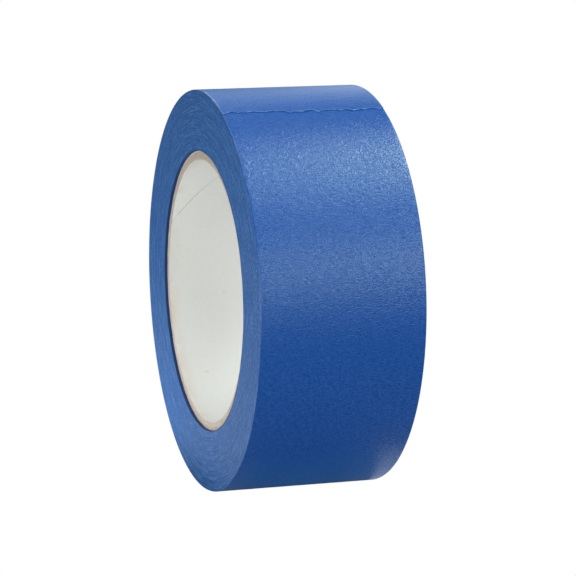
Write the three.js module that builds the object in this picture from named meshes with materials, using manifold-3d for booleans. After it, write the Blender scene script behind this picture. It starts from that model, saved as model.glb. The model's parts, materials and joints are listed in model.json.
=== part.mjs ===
// A roll of painter's masking tape on a spirally wound paperboard core, with its free end laid down.
//
// Millimetres. The roll's axis lies along Y, +Z is up and the origin is the roll's centre. Angles around
// the axis are counted from +Z towards +X. Every ring has the same number of flats with the same corner
// angles, so the flats of one layer lie parallel to those of the next and thin bond lines stay open.

import * as THREE from "three";
import { mergeVertices } from "three/addons/utils/BufferGeometryUtils.js";
import Module from "manifold-3d";

// Driving dimensions.
const TAPE_WIDTH = 48;
const ROLL_RADIUS = 58.4;
const CORE_OUTER_RADIUS = 40.7;
const CORE_BORE_RADIUS = 38.1;
const TURN_THICKNESS = 0.135;
const LINER_THICKNESS = 0.3;
const OUTER_PLY_THICKNESS = 0.42;
const BOARD_PLIES = 3;
const BOND_LINE = 0.02;

// The core is cut a little short of the tape, and each ply reaches a hair further than the one around it.
const CORE_END_RECESS = 0.85;
const PLY_END_STEP = 0.02;

// Each ply is a strip wound as a helix, whose edges meet at a butt gap.
const HELIX_LEAD = 146;
const BUTT_GAP = 0.4;
const LINER_SEAM_ANGLE = -68.5;
const SEAM_PHASE_STEP = 77;

// The free end: its cut edge, and the flats that can be peeled back.
const TAIL_END_ANGLE = 22.5;
const TAIL_SEGMENTS = 12;
const HINGE_GAP = 0.05;

const FLATS = 72;
const FLAT_ANGLE = 360 / FLATS;
const TAIL_START_ANGLE = TAIL_END_ANGLE - TAIL_SEGMENTS * FLAT_ANGLE;

const toRadians = THREE.MathUtils.degToRad;

const tapeMaterial = new THREE.MeshStandardMaterial({ color: 0x3669b2, roughness: 0.62, metalness: 0 });
const whitePaperMaterial = new THREE.MeshStandardMaterial({ color: 0xe6e4de, roughness: 0.8, metalness: 0 });
const boardMaterial = new THREE.MeshStandardMaterial({ color: 0xb7a891, roughness: 0.9, metalness: 0 });

const wasm = await Module();
wasm.setup();

function toManifold(geometry) {
  const bare = geometry.clone();
  bare.deleteAttribute("normal");
  bare.deleteAttribute("uv");
  const merged = mergeVertices(bare, 1e-3);
  const vertProperties = new Float32Array(merged.attributes.position.array);
  const triVerts = new Uint32Array(merged.index.array);
  return new wasm.Manifold(new wasm.Mesh({ numProp: 3, vertProperties, triVerts }));
}

function toGeometry(manifold) {
  const mesh = manifold.getMesh();
  const geometry = new THREE.BufferGeometry();
  geometry.setAttribute("position", new THREE.BufferAttribute(mesh.vertProperties, 3));
  geometry.setIndex(new THREE.BufferAttribute(mesh.triVerts, 1));
  geometry.computeVertexNormals();
  return geometry;
}

// A point of the roll's cross-section: x to the right, y up.
function sectionPoint(radius, angle) {
  const turn = toRadians(angle);
  return new THREE.Vector2(radius * Math.sin(turn), radius * Math.cos(turn));
}

// A cross-section pulled along the roll's axis to the full width of the tape.
function acrossTheRoll(shape) {
  const geometry = new THREE.ExtrudeGeometry(shape, { depth: TAPE_WIDTH, bevelEnabled: false });
  geometry.rotateX(Math.PI / 2);
  geometry.translate(0, TAPE_WIDTH / 2, 0);
  return geometry;
}

// Outer radius of the tape at an angle counted back along the strip from its cut end.
function tapeRadius(angleBack) {
  return ROLL_RADIUS - (TURN_THICKNESS * angleBack) / 360;
}

// A tube with flats, whose corner angles are those of the tape.
function coreTube(innerRadius, outerRadius, length) {
  const profile = [
    new THREE.Vector2(outerRadius, -length / 2),
    new THREE.Vector2(outerRadius, length / 2),
    new THREE.Vector2(innerRadius, length / 2),
    new THREE.Vector2(innerRadius, -length / 2),
    new THREE.Vector2(outerRadius, -length / 2),
  ];
  return new THREE.LatheGeometry(profile, FLATS, toRadians(TAIL_END_ANGLE));
}

// A thin blade that follows the helix of the core, to open a ply's butt gap.
function helixBlade(middleRadius, seamAngle) {
  const bladeDepth = 2;
  const bladeLength = TAPE_WIDTH + 2;
  const stations = 24;
  const blade = new THREE.BoxGeometry(BUTT_GAP, bladeLength, bladeDepth, 1, stations, 1);
  blade.translate(0, 0, middleRadius);
  const position = blade.attributes.position;
  const point = new THREE.Vector3();
  const axis = new THREE.Vector3(0, 1, 0);
  for (let i = 0; i < position.count; i += 1) {
    point.fromBufferAttribute(position, i);
    const fromFront = point.y + TAPE_WIDTH / 2;
    const angle = seamAngle + (360 * fromFront) / HELIX_LEAD;
    point.applyAxisAngle(axis, toRadians(angle));
    position.setXYZ(i, point.x, point.y, point.z);
  }
  return blade;
}

function corePly(name, material, innerRadius, thickness, endRecess, seamAngle) {
  const tube = coreTube(innerRadius, innerRadius + thickness, TAPE_WIDTH - 2 * endRecess);
  const blade = helixBlade(innerRadius + thickness / 2, seamAngle);
  const ply = toManifold(tube).subtract(toManifold(blade));
  const mesh = new THREE.Mesh(toGeometry(ply), material.clone());
  mesh.name = name;
  return mesh;
}

// The spirally wound core, from the white liner out to the white outer ply.
function spiralCore() {
  const core = new THREE.Group();
  const wall = CORE_OUTER_RADIUS - CORE_BORE_RADIUS;
  const boardWall = wall - LINER_THICKNESS - OUTER_PLY_THICKNESS;
  const boardThickness = boardWall / BOARD_PLIES - BOND_LINE;
  const layers = [{ name: "core_liner_ply", material: whitePaperMaterial, thickness: LINER_THICKNESS }];
  for (let i = 1; i <= BOARD_PLIES; i += 1) {
    layers.push({ name: `core_board_ply_${i}`, material: boardMaterial, thickness: boardThickness });
  }
  const outerThickness = OUTER_PLY_THICKNESS - BOND_LINE;
  layers.push({ name: "core_outer_ply", material: whitePaperMaterial, thickness: outerThickness });

  let radius = CORE_BORE_RADIUS;
  layers.forEach((layer, i) => {
    const pliesOutside = layers.length - 1 - i;
    const recess = CORE_END_RECESS - PLY_END_STEP * pliesOutside;
    const seam = LINER_SEAM_ANGLE + SEAM_PHASE_STEP * i;
    core.add(corePly(layer.name, layer.material, radius, layer.thickness, recess, seam));
    radius += layer.thickness + BOND_LINE;
  });
  return core;
}

// All the turns that are stuck down. The outermost turn stops where the free end begins, so the turn
// below lies open under it.
function tapeWoundPack() {
  const outline = [];
  const lastAngleBack = 360 + TAIL_SEGMENTS * FLAT_ANGLE;
  for (let back = TAIL_SEGMENTS * FLAT_ANGLE; back <= lastAngleBack; back += FLAT_ANGLE) {
    outline.push(sectionPoint(tapeRadius(back), TAIL_END_ANGLE - back));
  }
  const hole = [];
  for (let i = 0; i < FLATS; i += 1) {
    hole.push(sectionPoint(CORE_OUTER_RADIUS + BOND_LINE, TAIL_END_ANGLE + i * FLAT_ANGLE));
  }
  const section = new THREE.Shape(outline);
  section.holes.push(new THREE.Path(hole));
  const mesh = new THREE.Mesh(acrossTheRoll(section), tapeMaterial.clone());
  mesh.name = "tape_wound_pack";
  return mesh;
}

// One flat of the free end, from its hinge line to the next, with a bond line under it.
function tailSegment(index) {
  const startAngle = TAIL_START_ANGLE + index * FLAT_ANGLE;
  const endAngle = startAngle + FLAT_ANGLE;
  const startBack = TAIL_END_ANGLE - startAngle;
  const endBack = TAIL_END_ANGLE - endAngle;
  const outerStart = sectionPoint(tapeRadius(startBack), startAngle);
  const outerEnd = sectionPoint(tapeRadius(endBack), endAngle);
  const innerStart = sectionPoint(tapeRadius(startBack + 360) + BOND_LINE, startAngle);
  const innerEnd = sectionPoint(tapeRadius(endBack + 360) + BOND_LINE, endAngle);
  const trim = HINGE_GAP / 2 / outerStart.distanceTo(outerEnd);
  const section = new THREE.Shape([
    innerStart.clone().lerp(innerEnd, trim),
    outerStart.clone().lerp(outerEnd, trim),
    outerEnd.clone().lerp(outerStart, trim),
    innerEnd.clone().lerp(innerStart, trim),
  ]);
  const mesh = new THREE.Mesh(acrossTheRoll(section), tapeMaterial.clone());
  mesh.name = `tape_tail_${String(index + 1).padStart(2, "0")}`;
  return mesh;
}

function freeEnd() {
  const tail = new THREE.Group();
  for (let i = 0; i < TAIL_SEGMENTS; i += 1) {
    tail.add(tailSegment(i));
  }
  return tail;
}

const roll = new THREE.Group();
roll.name = "masking_tape_roll";
roll.add(spiralCore());
roll.add(tapeWoundPack());
roll.add(freeEnd());

export default roll;
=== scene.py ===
import json
import math

import bpy
import numpy as np
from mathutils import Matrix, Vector

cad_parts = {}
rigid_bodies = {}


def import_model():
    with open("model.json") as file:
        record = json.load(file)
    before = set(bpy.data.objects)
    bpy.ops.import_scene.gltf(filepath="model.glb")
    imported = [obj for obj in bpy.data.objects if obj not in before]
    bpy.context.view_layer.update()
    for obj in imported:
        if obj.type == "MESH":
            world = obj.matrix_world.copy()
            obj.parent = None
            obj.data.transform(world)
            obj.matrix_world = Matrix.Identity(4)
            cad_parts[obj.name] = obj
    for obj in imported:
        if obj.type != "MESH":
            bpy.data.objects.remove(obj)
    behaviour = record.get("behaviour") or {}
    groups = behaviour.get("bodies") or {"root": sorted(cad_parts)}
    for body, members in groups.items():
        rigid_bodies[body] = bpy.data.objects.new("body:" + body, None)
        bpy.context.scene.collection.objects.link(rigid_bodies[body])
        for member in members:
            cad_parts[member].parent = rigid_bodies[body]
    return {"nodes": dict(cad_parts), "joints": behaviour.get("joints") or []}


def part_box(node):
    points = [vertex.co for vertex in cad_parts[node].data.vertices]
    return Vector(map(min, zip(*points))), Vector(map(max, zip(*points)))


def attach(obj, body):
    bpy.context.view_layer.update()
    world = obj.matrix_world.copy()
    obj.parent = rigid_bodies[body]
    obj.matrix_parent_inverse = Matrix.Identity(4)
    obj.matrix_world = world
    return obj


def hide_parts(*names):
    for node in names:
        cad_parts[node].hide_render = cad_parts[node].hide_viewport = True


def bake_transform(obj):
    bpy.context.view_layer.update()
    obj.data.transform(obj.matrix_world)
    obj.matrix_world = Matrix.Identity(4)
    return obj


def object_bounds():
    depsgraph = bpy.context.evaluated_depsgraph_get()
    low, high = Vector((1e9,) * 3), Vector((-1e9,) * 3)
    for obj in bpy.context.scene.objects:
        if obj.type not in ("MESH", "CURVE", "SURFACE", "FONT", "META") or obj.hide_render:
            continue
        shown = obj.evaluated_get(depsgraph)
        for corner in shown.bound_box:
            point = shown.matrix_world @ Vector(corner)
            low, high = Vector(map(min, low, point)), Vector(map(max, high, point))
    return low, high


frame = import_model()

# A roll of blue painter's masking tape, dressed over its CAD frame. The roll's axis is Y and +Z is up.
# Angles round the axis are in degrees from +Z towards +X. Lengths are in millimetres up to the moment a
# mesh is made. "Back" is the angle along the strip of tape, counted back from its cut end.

MM = 0.001
cad_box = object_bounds()


# ---------------------------------------------------------------------------- sizes read from the frame

def corner_radii(node):
    """The smallest and largest distance of a CAD node's corners from the roll's axis, in mm."""
    radii = [math.hypot(v.co.x, v.co.z) / MM for v in frame["nodes"][node].data.vertices]
    return min(radii), max(radii)


def angle_of(position):
    return math.degrees(math.atan2(position[0], position[2]))


HINGES = [(j["parent"], j["child"], angle_of(j["pos_m"])) for j in frame["joints"]]
FLAT_ANGLE = HINGES[1][2] - HINGES[0][2]
CUT_ANGLE = HINGES[-1][2] + FLAT_ANGLE
STEP_ANGLE = HINGES[0][2] - FLAT_ANGLE / 2

HALF_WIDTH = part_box("tape_wound_pack")[1].y / MM
ROLL_RADIUS = corner_radii("tape_tail_12")[1]
TAPE_INNER_RADIUS = corner_radii("tape_wound_pack")[0]
MEAN_RADIUS = (ROLL_RADIUS + TAPE_INNER_RADIUS) / 2

# ------------------------------------------------------------------------- sizes finer than the frame's

TURN = 0.135                # thickness of one turn of tape
BOND_LINE = 0.02
DISH = (0.20, 0.34)         # how far the innermost turn lies inside the outermost, at -X and at +X
CORE_LEAN = (0.20, 0.40)    # how far the core's cut ends lie inside the CAD's, at -X and at +X
RIM = ((0.01, 0.11), (0.08, 0.055), (0.20, 0.015))    # the strip's rim: distance from its side, and drop
RIM_WIDTH = 0.34
CUT_WAVE = 1.9              # ragged cut end: long waves and short nicks, both in degrees of the roll
CUT_NICK = 0.5
TIP_REST = 0.02             # how far the cut end stands off the roll: everywhere, and more at its tips
TIP_LIFT = 0.16
LIFTED_SHARE = 0.3          # the part of the cut lip that lifts
SHARP_EDGE_ANGLE = 50


def tape_radius(back):
    """Outer radius of the strip of tape."""
    return ROLL_RADIUS - TURN * back / 360


# ------------------------------------------------------------------------------------ shape helpers

def smooth_noise(u, v, seed, period_u=256, period_v=256):
    """Value noise from 0 to 1 with features one unit long, repeating after the given whole numbers."""
    corners = np.random.default_rng(seed).random((period_u, period_v))
    u, v = np.broadcast_arrays(u, v)
    cell_u = np.floor(u).astype(int)
    cell_v = np.floor(v).astype(int)
    ease_u = (u - cell_u) ** 2 * (3 - 2 * (u - cell_u))
    ease_v = (v - cell_v) ** 2 * (3 - 2 * (v - cell_v))
    u0, u1 = cell_u % period_u, (cell_u + 1) % period_u
    v0, v1 = cell_v % period_v, (cell_v + 1) % period_v
    low = corners[u0, v0] * (1 - ease_u) + corners[u1, v0] * ease_u
    high = corners[u0, v1] * (1 - ease_u) + corners[u1, v1] * ease_u
    return low * (1 - ease_v) + high * ease_v


def on_roll(radius, angle, y):
    """Points in the row frame, from cylindrical coordinates."""
    turn = np.radians(angle)
    return np.stack(np.broadcast_arrays(radius * np.sin(turn), y, radius * np.cos(turn)), axis=-1)


def there_and_back(there, back):
    """One closed loop of values per station: along the first row of values, and back along the second."""
    return np.concatenate([there, back[:, ::-1]], axis=1)


def end_cap(points):
    """Faces that close the end of a loop of there-and-back points, as a row of quads."""
    return [[j, j + 1, 2 * points - 2 - j, 2 * points - 1 - j] for j in range(points - 1)]


def swept(name, loops, materials, wrap=False, cap=(), strip=None, material_of=None):
    """A closed piece: loops of points joined station by station, wrapped round or capped at both ends."""
    stations, length = loops.shape[:2]
    first = np.arange(stations if wrap else stations - 1)
    i = np.repeat(first, length)
    j = np.tile(np.arange(length), len(first))
    here, there = i * length, (i + 1) % stations * length
    after = (j + 1) % length
    sides = np.stack([here + j, there + j, there + after, here + after], axis=1)
    faces = sides.tolist()
    if not wrap:
        last = (stations - 1) * length
        faces += [list(face) for face in cap]
        faces += [[last + k for k in reversed(face)] for face in cap]
    mesh = bpy.data.meshes.new(name)
    mesh.from_pydata((loops.reshape(-1, 3) * MM).tolist(), [], faces)
    mesh.polygons.foreach_set("use_smooth", [True] * len(faces))
    for material in materials:
        mesh.materials.append(material)
    if material_of is not None:
        slots = np.zeros(len(faces), np.int32)
        slots[: len(sides)] = material_of[j]
        mesh.polygons.foreach_set("material_index", slots)
    if strip is not None:
        corners = np.zeros(len(mesh.loops), np.int32)
        mesh.loops.foreach_get("vertex_index", corners)
        layer = mesh.uv_layers.new(name="strip")
        layer.uv.foreach_set("vector", strip.reshape(-1, 2)[corners].astype(np.float32).ravel())
    mesh.set_sharp_from_angle(angle=math.radians(SHARP_EDGE_ANGLE))
    mesh.update()
    piece = bpy.data.objects.new(name, mesh)
    bpy.context.scene.collection.objects.link(piece)
    return piece


# ------------------------------------------------------------------------------------ material helpers

class Shader:
    """A node material, with a short call for each kind of node it is built from."""

    def __init__(self, name):
        self.material = bpy.data.materials.new(name)
        self.material.use_nodes = True
        self.tree = self.material.node_tree
        self.tree.nodes.clear()

    def node(self, kind, settings=None, inputs=None):
        node = self.tree.nodes.new(kind)
        for name, value in (settings or {}).items():
            setattr(node, name, value)
        for name, value in (inputs or {}).items():
            if isinstance(value, bpy.types.NodeSocket):
                self.tree.links.new(value, node.inputs[name])
            elif isinstance(value, tuple) and len(value) == 3 and node.inputs[name].type == "RGBA":
                node.inputs[name].default_value = (*value, 1.0)
            else:
                node.inputs[name].default_value = value
        return node

    def place(self):
        """The point's place in the row frame, in metres."""
        return self.node("ShaderNodeTexCoord").outputs["Object"]

    def along_and_across(self):
        """The point's place on the strip of tape, in mm."""
        return self.node("ShaderNodeUVMap", {"uv_map": "strip"}).outputs[0]

    def parts(self, vector):
        return self.node("ShaderNodeSeparateXYZ", {}, {0: vector}).outputs

    def math(self, operation, *values):
        inputs = dict(enumerate(values))
        return self.node("ShaderNodeMath", {"operation": operation}, inputs).outputs[0]

    def weighted(self, *pairs):
        """The sum of values, each times its weight."""
        total = 0.0
        for weight, value in pairs:
            total = self.math("MULTIPLY_ADD", value, weight, total)
        return total

    def noise(self, vector, per_unit, detail=2.0, distortion=0.0):
        """Noise with so many features per unit of length, given once or for each axis."""
        if isinstance(per_unit, tuple):
            vector = self.stretch(vector, per_unit)
            per_unit = 1.0
        inputs = {"Vector": vector, "Scale": per_unit, "Detail": detail, "Distortion": distortion}
        return self.node("ShaderNodeTexNoise", {}, inputs).outputs["Fac"]

    def stretch(self, vector, scale):
        node = self.node("ShaderNodeMapping", {"vector_type": "POINT"}, {"Vector": vector, "Scale": scale})
        return node.outputs[0]

    def ramp(self, value, low, high, to_low=0.0, to_high=1.0):
        inputs = {"Value": value, "From Min": low, "From Max": high, "To Min": to_low, "To Max": to_high}
        return self.node("ShaderNodeMapRange", {"clamp": True}, inputs).outputs[0]

    def mix(self, share, colour_a, colour_b):
        node = self.node("ShaderNodeMix", {"data_type": "RGBA"})
        for socket, value in ((0, share), (6, colour_a), (7, colour_b)):
            if isinstance(value, bpy.types.NodeSocket):
                self.tree.links.new(value, node.inputs[socket])
            elif isinstance(value, float):
                node.inputs[socket].default_value = value
            else:
                node.inputs[socket].default_value = (*value, 1.0)
        return node.outputs[2]

    def three_tones(self, tone, low, middle, high, dark, plain, light):
        """Dark where the tone is low, plain at its middle and light where it is high."""
        lower = self.mix(self.ramp(tone, low, middle), dark, plain)
        return self.mix(self.ramp(tone, middle, high), lower, light)

    def bump(self, height, distance, strength=1.0):
        inputs = {"Height": height, "Distance": distance * MM, "Strength": strength}
        return self.node("ShaderNodeBump", {}, inputs).outputs[0]

    def finish(self, colour, roughness, normal, specular=0.5, tint=(1.0, 1.0, 1.0)):
        inputs = {"Base Color": colour, "Roughness": roughness, "Normal": normal}
        inputs |= {"Specular IOR Level": specular, "Specular Tint": tint}
        return self.surface(self.node("ShaderNodeBsdfPrincipled", {}, inputs))

    def surface(self, shader):
        output = self.node("ShaderNodeOutputMaterial")
        self.tree.links.new(shader.outputs[0], output.inputs["Surface"])
        return self.material


# ------------------------------------------------------------------------------------------- colours

CREPE_BLUE = (0.0015, 0.065, 0.315)
CREPE_LIGHT = (0.007, 0.089, 0.385)
CREPE_DARK = (0.0007, 0.050, 0.262)
# Pale fibre blue, mixed in towards the rim as fuzz and as painted grazing sheen.
CREPE_FUZZ_SHEEN = (0.004, 0.120, 0.42)
CREPE_SHEEN = (0.80, 1.0, 0.82)
# Pale torn paper, also a painted highlight on the lifted tips of the cut end.
TORN_PAPER_GLINT = (0.24, 0.40, 0.70)
ADHESIVE = (0.16, 0.30, 0.55)
ADHESIVE_LIGHT = (0.22, 0.37, 0.60)
SLIT_BLUE = (0.021, 0.126, 0.40)
SLIT_LIGHT = (0.062, 0.200, 0.52)
SLIT_DARK = (0.013, 0.095, 0.325)
SLIT_FIBRE = (0.30, 0.42, 0.68)
RIM_SHADE = (0.007, 0.034, 0.125)
LINER_WHITE = (0.71, 0.72, 0.695)
LINER_GREY = (0.67, 0.675, 0.65)
LINER_STAIN = (0.62, 0.52, 0.40)
OUTER_PAPER = (0.82, 0.80, 0.75)
OUTER_PAPER_DARK = (0.66, 0.62, 0.56)
BOARD_TAN = (0.68, 0.59, 0.50)
BOARD_DARK = (0.55, 0.47, 0.38)
BOARD_LIGHT = (0.74, 0.67, 0.58)


# ------------------------------------------------------------------------------------------ materials

def crepe_backing():
    """The release-coated face of the crepe paper: short ridges across the strip, and fibre mottle."""
    s = Shader("crepe_backing")
    strip = s.along_and_across()
    ridges = s.noise(strip, (2.5, 0.85, 1), distortion=0.6)
    fibres = s.noise(strip, 2.8, distortion=0.5)
    blotches = s.noise(strip, 0.8, distortion=0.5)
    normal = s.bump(s.weighted((1.0, ridges), (0.8, fibres)), 0.075)

    # The mottle is weakest face-on and at the rim, and towards the rim the colour is made paler by the loose
    # fibres and by a painted grazing sheen.
    facing = s.node("ShaderNodeLayerWeight", {}, {"Blend": 0.5}).outputs["Facing"]
    tone = s.weighted((0.32, ridges), (0.48, fibres), (0.2, blotches))
    contrast = s.math("MULTIPLY", s.ramp(facing, 0.08, 0.2, 0.7, 1.05), s.ramp(facing, 0.6, 0.9, 1.0, 0.25))
    tone = s.math("MULTIPLY_ADD", s.math("SUBTRACT", tone, 0.5), contrast, 0.5)
    base = s.three_tones(tone, 0.38, 0.5, 0.62, CREPE_DARK, CREPE_BLUE, CREPE_LIGHT)
    # Painted grazing sheen: the base turns paler as the surface turns edge-on.
    base = s.mix(s.ramp(facing, 0.45, 0.85, 0.0, 0.8), base, CREPE_FUZZ_SHEEN)

    # Pale torn paper, and a painted highlight where lifted tips catch the light, at some of the tips of the
    # cut end.
    from_cut = s.parts(strip)[0]
    tips = s.noise(strip, (0.1, 0.42, 1))
    torn = s.math("MULTIPLY", s.ramp(from_cut, 0.08, 0.34, 1.0, 0.0), s.ramp(tips, 0.47, 0.57))
    base = s.mix(torn, base, TORN_PAPER_GLINT)

    shine = s.math("MULTIPLY", s.ramp(tone, 0.39, 0.61, 0.28, 1.06), s.ramp(facing, 0.6, 0.9, 1.0, 0.8))
    roughness = s.ramp(tone, 0.39, 0.61, 0.345, 0.255)
    return s.finish(base, roughness, normal, shine, CREPE_SHEEN)


def adhesive_side():
    """The tacky underside: the paper shows through a thin, slightly shiny coat."""
    s = Shader("adhesive_side")
    ridges = s.noise(s.along_and_across(), (1.35, 0.75, 1), detail=3.0, distortion=0.6)
    colour = s.mix(s.ramp(ridges, 0.35, 0.65), ADHESIVE, ADHESIVE_LIGHT)
    return s.finish(colour, s.ramp(ridges, 0.3, 0.7, 0.24, 0.36), s.bump(ridges, 0.06, 0.8))


def slit_side():
    """The knife-cut side of the roll: a fine line per turn, short streaks along the turns, loose fibres."""
    s = Shader("slit_side")
    x, _, z = s.parts(s.place())
    radius = s.math("SQRT", s.math("ADD", s.math("MULTIPLY", x, x), s.math("MULTIPLY", z, z)))
    radius = s.math("DIVIDE", radius, MM)
    angle = s.math("ARCTAN2", x, z)
    turn = s.math("ADD", s.math("DIVIDE", radius, TURN), s.math("DIVIDE", angle, 2 * math.pi))
    whole_turn = s.math("FLOOR", turn)
    of_turn = s.node("ShaderNodeTexWhiteNoise", {"noise_dimensions": "1D"}, {"W": whole_turn}).outputs[0]
    around = s.node("ShaderNodeCombineXYZ", {}, {0: radius, 1: s.math("MULTIPLY", angle, MEAN_RADIUS)})
    around = around.outputs[0]
    streaks = s.noise(around, (1.9, 0.16, 1), detail=3.0, distortion=0.3)
    grit = s.noise(around, (2.2, 1.1, 1), distortion=0.3)
    arcs = s.noise(around, (2.4, 0.03, 1))
    flecks = s.noise(around, (3.0, 0.9, 1), detail=1.0)
    tone = s.weighted((0.42, streaks), (0.33, grit), (0.25, arcs), (0.02, of_turn))
    normal = s.bump(s.weighted((1.0, tone), (0.1, of_turn)), 0.3, 0.9)
    base = s.three_tones(tone, 0.42, 0.51, 0.60, SLIT_DARK, SLIT_BLUE, SLIT_LIGHT)

    # Loose fibres, more of them on the scuffed +X part.
    fleck_level = s.ramp(x, 0.0, ROLL_RADIUS * MM, 0.68, 0.58)
    fleck = s.ramp(s.math("SUBTRACT", flecks, fleck_level), 0.0, 0.167, 0.0, 0.7)
    base = s.mix(fleck, base, SLIT_FIBRE)
    # Painted shade: the slit side darkens towards the tape's inner edge, next to the core's recess.
    inner_rim_shade = s.ramp(radius, TAPE_INNER_RADIUS, TAPE_INNER_RADIUS + 0.40, 1.0, 0.0)
    base = s.mix(inner_rim_shade, base, RIM_SHADE)
    return s.finish(base, 0.62, normal, 0.25)


def white_liner():
    """The smooth white paper that lines the core, a little soiled near its cut ends."""
    s = Shader("white_liner")
    place = s.place()
    from_end = s.math("SUBTRACT", HALF_WIDTH * MM, s.math("ABSOLUTE", s.parts(place)[1]))
    grain = s.noise(place, 900.0, detail=3.0)
    patches = s.noise(place, 160.0, detail=3.0)
    specks = s.noise(place, 420.0, detail=1.0)
    base = s.mix(s.ramp(grain, 0.3, 0.7, 0.0, 0.5), LINER_WHITE, LINER_GREY)
    soiled = s.ramp(from_end, 1.2 * MM, 4.5 * MM, 0.55, 0.0)
    base = s.mix(s.math("MULTIPLY", soiled, s.ramp(patches, 0.35, 0.65)), base, LINER_STAIN)
    base = s.mix(s.ramp(specks, 0.75, 0.79, 0.0, 0.45), base, LINER_STAIN)
    return s.finish(base, 0.72, s.bump(grain, 0.03, 0.5), 0.3)


def white_outer_paper():
    """The rougher white paper round the outside of the core, seen only at its cut ends."""
    s = Shader("white_outer_paper")
    grain = s.noise(s.place(), 1500.0, detail=3.0)
    base = s.mix(s.ramp(grain, 0.35, 0.65), OUTER_PAPER_DARK, OUTER_PAPER)
    return s.finish(base, 0.8, s.bump(grain, 0.05, 0.7), 0.2)


def core_board():
    """Tan recycled board, with the torn fibres of a knife cut."""
    s = Shader("core_board")
    place = s.place()
    fibres = s.noise(s.stretch(place, (1.0, 2.5, 1.0)), 1800.0, detail=4.0, distortion=0.4)
    patches = s.noise(place, 320.0, detail=3.0)
    base = s.mix(s.ramp(fibres, 0.35, 0.65), BOARD_DARK, BOARD_TAN)
    base = s.mix(s.ramp(patches, 0.35, 0.7, 0.0, 0.5), base, BOARD_LIGHT)
    return s.finish(base, 0.9, s.bump(fibres, 0.12), 0.15)


# --------------------------------------------------------------------------------------- tape pieces

FACE, EDGE, UNDERSIDE = 0, 1, 2
ROWS_ACROSS = 62
LIP_ROWS_ACROSS = 122
PACK_STATIONS = 361
PACK_SEAM_SLIT = 0.02
PACK_RINGS = 126
LAST_TURN_STATIONS = 721
FREE_END_STATIONS = 16
LIP_STATIONS = 14

# The crepe's relief: length along the strip, width across it and depth.
RIDGE_LENGTH, RIDGE_WIDTH, RIDGE_DEPTH = 1.05, 2.1, 0.022
BUMP_LENGTH, BUMP_WIDTH, BUMP_DEPTH = 0.8, 1.3, 0.016
WAVE_LENGTH, WAVE_WIDTH, WAVE_DEPTH = 7.0, 12.0, 0.02

# The wound side's relief: turns and degrees for one feature, and its depth.
FINE_TURNS, FINE_ANGLE, FINE_DEPTH = 2, 6, 0.06
GROUP_TURNS, GROUP_ANGLE, GROUP_DEPTH = 7, 30, 0.09


def crepe_relief(along, y):
    """Depth of the crepe below the strip's face, in mm, at a place along and across the strip."""
    ridges = smooth_noise(along / RIDGE_LENGTH, y / RIDGE_WIDTH + 40, seed=11)
    bumps = smooth_noise(along / BUMP_LENGTH, y / BUMP_WIDTH + 40, seed=12)
    waves = smooth_noise(along / WAVE_LENGTH, y / WAVE_WIDTH + 8, seed=13)
    return RIDGE_DEPTH * ridges + BUMP_DEPTH * bumps + WAVE_DEPTH * waves


def along_strip(back):
    """Distance from the cut end along the strip, in mm."""
    return np.radians(back) * ROLL_RADIUS


def leaning(depths, angle):
    """A depth at an angle round the axis, which goes from its value at -X to its value at +X and back."""
    at_minus_x, at_plus_x = depths
    return at_minus_x + (at_plus_x - at_minus_x) * (1 + np.sin(np.radians(angle))) / 2


def side_depth(radius, angle, side):
    """How far a slit side lies inside the CAD's flat side: a shallow dish, and each turn in or out."""
    share = np.clip((ROLL_RADIUS - radius) / (ROLL_RADIUS - TAPE_INNER_RADIUS), 0, 1)
    turn = radius / TURN + angle / 360
    fine = smooth_noise(turn / FINE_TURNS, angle / FINE_ANGLE, 21 + side, period_v=360 // FINE_ANGLE)
    groups = smooth_noise(turn / GROUP_TURNS, angle / GROUP_ANGLE, 31 + side, period_v=360 // GROUP_ANGLE)
    return leaning(DISH, angle) * share ** 1.2 + FINE_DEPTH * fine + GROUP_DEPTH * groups


def wound_pack(side_face):
    """Every stuck-down turn but the outermost one, as one ring with a face line per turn on both sides."""
    round_once = np.append(np.linspace(0, 359, PACK_STATIONS - 1), 360 - PACK_SEAM_SLIT)
    angles = STEP_ANGLE + round_once[:, None]
    outer = tape_radius(CUT_ANGLE - angles + 360) - TURN - BOND_LINE / 4
    rings = np.linspace(0, 1, PACK_RINGS)[None, :]
    radius = TAPE_INNER_RADIUS + (outer - TAPE_INNER_RADIUS) * rings
    front = -HALF_WIDTH + side_depth(radius, angles, 0)
    back = HALF_WIDTH - side_depth(radius, angles, 1)
    loops = on_roll(there_and_back(radius, radius), angles, there_and_back(front, back))
    piece = swept("wound_pack", loops, [side_face], wrap=True)
    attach(piece, "roll")
    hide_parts("tape_wound_pack")


def across_strip(rows):
    """Places across the strip's face, with its rounded rims, and how far each lies below the face."""
    side_gap, drop = np.array(RIM).T
    flat = HALF_WIDTH - RIM_WIDTH
    rim = HALF_WIDTH - side_gap
    y = np.concatenate([-rim, np.linspace(-flat, flat, rows), rim[::-1]])
    return y, np.concatenate([drop, np.zeros(rows), drop[::-1]])


def on_both_faces(values, shape):
    """Values over the strip's face, and the same values under it."""
    face = np.broadcast_to(values, shape)
    return there_and_back(face, face)


def strip_piece(name, angles, backs, thickness, rows, materials, lift=0.0, cap=None):
    """A length of the strip as one closed piece: its face, two edges and its underside."""
    y, drop = across_strip(rows)
    outer = tape_radius(backs) + lift + np.zeros_like(y)
    face = outer - drop - crepe_relief(along_strip(backs), y)
    radius = there_and_back(face, outer - thickness)
    angles = on_both_faces(angles, face.shape)
    along = on_both_faces(along_strip(backs), face.shape)
    across = on_both_faces(y, face.shape)
    slots = np.full(2 * len(y), UNDERSIDE)
    slots[: len(y) - 1] = FACE
    slots[[len(y) - 1, -1]] = EDGE
    cap = cap or [list(range(2 * len(y)))]
    strip = np.stack([along, across], axis=-1)
    return swept(name, on_roll(radius, angles, across), materials, cap=cap, strip=strip, material_of=slots)


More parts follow.
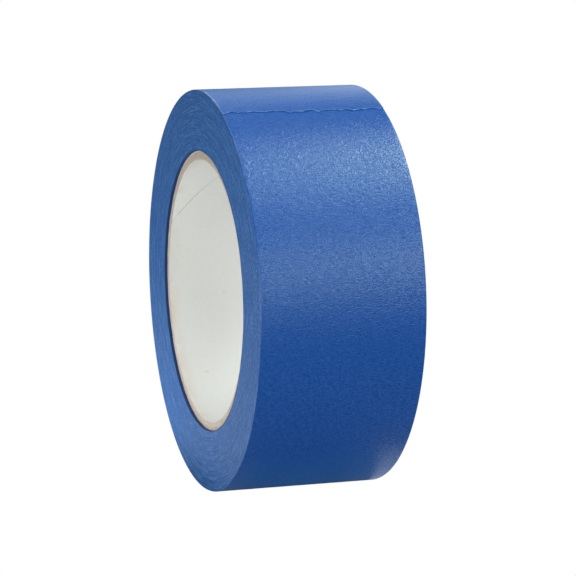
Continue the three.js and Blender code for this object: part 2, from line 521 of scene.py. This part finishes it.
def last_turn(materials):
    """The outermost stuck-down turn, from under the free end round to where the free end begins."""
    angles = STEP_ANGLE + np.linspace(0, 360, LAST_TURN_STATIONS)[:, None]
    piece = strip_piece("last_turn", angles, CUT_ANGLE - angles + 360, TURN, ROWS_ACROSS, materials)
    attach(piece, "roll")


def free_end_piece(name, start, end, materials):
    """A short length of the free end, between two angles."""
    angles = np.linspace(start, end, FREE_END_STATIONS)[:, None]
    return strip_piece(name, angles, CUT_ANGLE - angles, TURN - BOND_LINE, ROWS_ACROSS, materials)


def cut_lip(materials):
    """The last few millimetres, down to the ragged cut, whose tips lift a little off the roll."""
    y, _ = across_strip(LIP_ROWS_ACROSS)
    waves = smooth_noise(y / 2.1 + 40, 0.5, seed=5)
    nicks = smooth_noise(y / 0.6 + 100, 0.5, seed=6)
    edge = CUT_ANGLE + CUT_WAVE * (waves - 0.5) + CUT_NICK * (nicks - 0.5)
    start = HINGES[-1][2] + FLAT_ANGLE / 2
    share = np.linspace(0, 1, LIP_STATIONS)[:, None]
    angles = start + (edge - start) * share
    backs = (CUT_ANGLE - start) * (1 - share) + 0 * angles
    tip_height = TIP_REST + TIP_LIFT * smooth_noise(y / 1.9 + 50, 0.5, seed=8) ** 2
    lift = tip_height * np.clip((share - 1 + LIFTED_SHARE) / LIFTED_SHARE, 0, 1) ** 2
    thickness = TURN - BOND_LINE
    cap = end_cap(len(y))
    return strip_piece("cut_lip", angles, backs, thickness, LIP_ROWS_ACROSS, materials, lift, cap)


def free_end(materials):
    """The free end as one piece per hinge, each left fixed where it lies at rest, and the cut lip on the body
    of the last hinge.
    """
    for number, (parent, child, angle) in enumerate(HINGES, start=1):
        start, end = angle - FLAT_ANGLE / 2, angle + FLAT_ANGLE / 2
        piece = free_end_piece(f"free_end_{number:02d}", start, end, materials)
        bend_from = angle if number == 1 else start
        low = Vector(on_roll(ROLL_RADIUS, bend_from, 0.0)) * MM
        high = Vector(on_roll(ROLL_RADIUS, end, 0.0)) * MM
        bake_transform(piece)
        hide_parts(f"tape_{child}")
    lip = cut_lip(materials)
    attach(lip, HINGES[-1][1])


def tape():
    """The strip of tape: the wound pack, its last turn and the free end."""
    slit = slit_side()
    materials = [crepe_backing(), slit, adhesive_side()]
    wound_pack(slit)
    last_turn(materials)
    free_end(materials)


# --------------------------------------------------------------------------------------- core pieces

HELIX_LEAD = 146
LINER_SEAM_ANGLE = -68.5
SEAM_PHASE_STEP = 77
SEAM_GAP = 0.3
PLY_COLUMNS = 301
PLY_ROWS = 33
PLY_SHORT = 0.03            # how much further in a ply's cut end lies at least, and how ragged it is
PLY_FRAY = 0.10


def core_ply(node, order, material):
    """One spirally wound ply, its edges meeting along a helical butt seam and its ends a little frayed."""
    inner, outer = corner_radii(node)
    low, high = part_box(node)
    y = np.linspace(low.y / MM, high.y / MM, PLY_ROWS)[:, None]
    seam = LINER_SEAM_ANGLE + SEAM_PHASE_STEP * order + 360 * (y + HALF_WIDTH) / HELIX_LEAD
    gap = math.degrees(SEAM_GAP / inner)
    arc = seam + gap / 2 + np.linspace(0, 360 - gap, PLY_COLUMNS)[None, :]
    angles = there_and_back(arc[:, ::-1], arc[:, ::-1])
    radius = np.repeat([outer, inner], PLY_COLUMNS)[None, :]
    inwards = np.zeros((PLY_ROWS, 1))
    inwards[0], inwards[-1] = 1, -1
    ragged = smooth_noise(angles / 3, radius * 2, seed=41 + order, period_u=120)
    inset = PLY_SHORT + PLY_FRAY * ragged + leaning(CORE_LEAN, angles)
    loops = on_roll(radius, angles, y + inwards * inset)
    piece = swept(node.replace("core_", "paper_core_"), loops, [material], cap=end_cap(PLY_COLUMNS))
    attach(piece, "roll")
    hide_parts(node)


def paper_core():
    """The white liner, three plies of board and the white outer ply."""
    board = core_board()
    core_ply("core_liner_ply", 0, white_liner())
    for number in (1, 2, 3):
        core_ply(f"core_board_ply_{number}", number, board)
    core_ply("core_outer_ply", 4, white_outer_paper())


# --------------------------------------------------------------------------------------------- stage

CAMERA_AZIMUTH = 72.17
CAMERA_ELEVATION = 9.67
CAMERA_DISTANCE = 814.0
CAMERA_SLIDE_RIGHT = 2.40
CAMERA_SLIDE_UP = -0.37
CAMERA_LENS = 173.7


def direction(azimuth, elevation):
    """Unit vector from the roll towards a viewer; azimuth 0 looks along +Y and 90 along -X."""
    a, e = math.radians(azimuth), math.radians(elevation)
    return Vector((math.sin(a) * math.cos(e), -math.cos(a) * math.cos(e), math.sin(e)))


def camera():
    data = bpy.data.cameras.new("camera")
    data.lens = CAMERA_LENS
    data.clip_start = 0.05
    data.clip_end = 20
    eye = bpy.data.objects.new("camera", data)
    back = direction(CAMERA_AZIMUTH, CAMERA_ELEVATION)
    turn = (-back).to_track_quat("-Z", "Y")
    slide = turn @ Vector((CAMERA_SLIDE_RIGHT, CAMERA_SLIDE_UP, 0))
    eye.location = (back * CAMERA_DISTANCE + slide) * MM
    eye.rotation_euler = turn.to_euler()
    bpy.context.scene.collection.objects.link(eye)
    bpy.context.scene.camera = eye


# Lamps and glows, in metres and watts. Their powers, and the glow of the floor and of the world, were not
# designed by hand: a least-squares fit to the look of one real roll chose them. The powers of above_far_side,
# above_right and far_right were then trimmed, and glow_far_foot was added.
DOME_RADIUS = 1.4
SOFTBOX_SIDE = 0.55
GLOW_LIFT = 0.0009
FLOOR_SIZE = 6.0
FLOOR_GLOW = 0.252
MIRRORED_CONTACT_SHADOW = 0.05       # painted contact shadow: the dim glow the tape mirrors of the floor right by the contact
SCATTERED_CONTACT_POOL = 0.60      # painted pool of light: the brighter glow that floor scatters back up right by the contact
CONTACT_SCALE = (11, 28, 0) # one over the reach of the contact along X and Y
WORLD_GLOW = 0.195
WHITE = (1.0, 1.0, 1.0)
COOL = (0.95, 1.03, 0.98)


def softbox(name, place, back, side, power, colour=WHITE):
    """A square lamp that the camera does not see; back is the direction its light comes from."""
    data = bpy.data.lights.new(name, "AREA")
    data.size = side
    data.energy = power
    data.color = colour
    lamp = bpy.data.objects.new(name, data)
    lamp.location = place
    lamp.rotation_euler = back.to_track_quat("Z", "Y").to_euler()
    lamp.visible_camera = False
    bpy.context.scene.collection.objects.link(lamp)


def studio():
    """Eight softboxes on a dome round the roll, and five small glows on the floor close to it."""
    for name, azimuth, elevation, power, colour in (
        ("camera_side", 60, 4, 10.4, WHITE),
        ("tread_side", 90, 4, 2.5, WHITE),
        ("above_face", 0, 75, 6.9, WHITE),
        ("above_far_side", 180, 57, 8.9, COOL),
        ("above_right", 135, 56, 2.85, COOL),
        ("far_right", 120, 20, 4.3, WHITE),
        ("behind", 270, 38, 3.2, WHITE),
        ("behind_far_side", 240, 20, 0.9, WHITE),
    ):
        towards = direction(azimuth, elevation)
        softbox(name, towards * DOME_RADIUS, towards, SOFTBOX_SIDE, power, colour)
    for name, x, y, side, power in (
        ("glow_left", -0.170, -0.060, 0.10, 0.073),
        ("glow_foot_left", -0.050, -0.060, 0.05, 0.021),
        ("glow_foot", 0.0, -0.060, 0.05, 0.0084),
        ("glow_right", 0.050, -0.120, 0.05, 0.060),
        ("glow_far_foot", 0.013, 0.048, 0.05, 0.0034),
    ):
        softbox(name, Vector((x, y, cad_box[0].z + GLOW_LIFT)), Vector((0, 0, -1)), side, power)


def floor_material():
    """White to the camera. The roll sees a faint glow. Close to the contact it dims to a painted contact
    shadow in reflections and brightens to a painted pool of light in scattered light.
    """
    s = Shader("pale_floor")
    place = s.stretch(s.place(), CONTACT_SCALE)
    reach = s.node("ShaderNodeVectorMath", {"operation": "LENGTH"}, {0: place})
    reach = reach.outputs["Value"]
    # Painted contact shadow for glossy rays, painted pool of light for the other rays.
    mirrored_shadow = s.ramp(reach, 0.4, 1.1, MIRRORED_CONTACT_SHADOW, FLOOR_GLOW)
    scattered_pool = s.ramp(reach, 0.3, 1.6, SCATTERED_CONTACT_POOL, FLOOR_GLOW)
    path = s.node("ShaderNodeLightPath").outputs
    change = s.math("SUBTRACT", mirrored_shadow, scattered_pool)
    glow = s.math("MULTIPLY_ADD", path["Is Glossy Ray"], change, scattered_pool)
    white = s.node("ShaderNodeEmission", {}, {"Strength": 1.0}).outputs[0]
    faint = s.node("ShaderNodeEmission", {}, {"Strength": glow}).outputs[0]
    return s.surface(s.node("ShaderNodeMixShader", {}, {0: path["Is Camera Ray"], 1: faint, 2: white}))


def pale_floor():
    z = cad_box[0].z
    corners = [(x * FLOOR_SIZE, y * FLOOR_SIZE, z) for x, y in ((-1, -1), (1, -1), (1, 1), (-1, 1))]
    mesh = bpy.data.meshes.new("floor")
    mesh.from_pydata(corners, [], [(0, 1, 2, 3)])
    mesh.materials.append(floor_material())
    floor = bpy.data.objects.new("floor", mesh)
    bpy.context.scene.collection.objects.link(floor)


def white_world():
    """White to the camera, and a faint glow for the roll."""
    world = bpy.data.worlds.new("white_world")
    world.use_nodes = True
    tree = world.node_tree
    background = tree.nodes["Background"]
    background.inputs["Color"].default_value = (1, 1, 1, 1)
    to_camera = tree.nodes.new("ShaderNodeLightPath").outputs["Is Camera Ray"]
    strength = tree.nodes.new("ShaderNodeMapRange")
    strength.inputs["To Min"].default_value = WORLD_GLOW
    tree.links.new(to_camera, strength.inputs["Value"])
    tree.links.new(strength.outputs[0], background.inputs["Strength"])
    bpy.context.scene.world = world
    bpy.context.scene.view_settings.view_transform = "Standard"


# ------------------------------------------------------------------------------------------- assembly

tape()
paper_core()
camera()
studio()
pale_floor()
white_world()
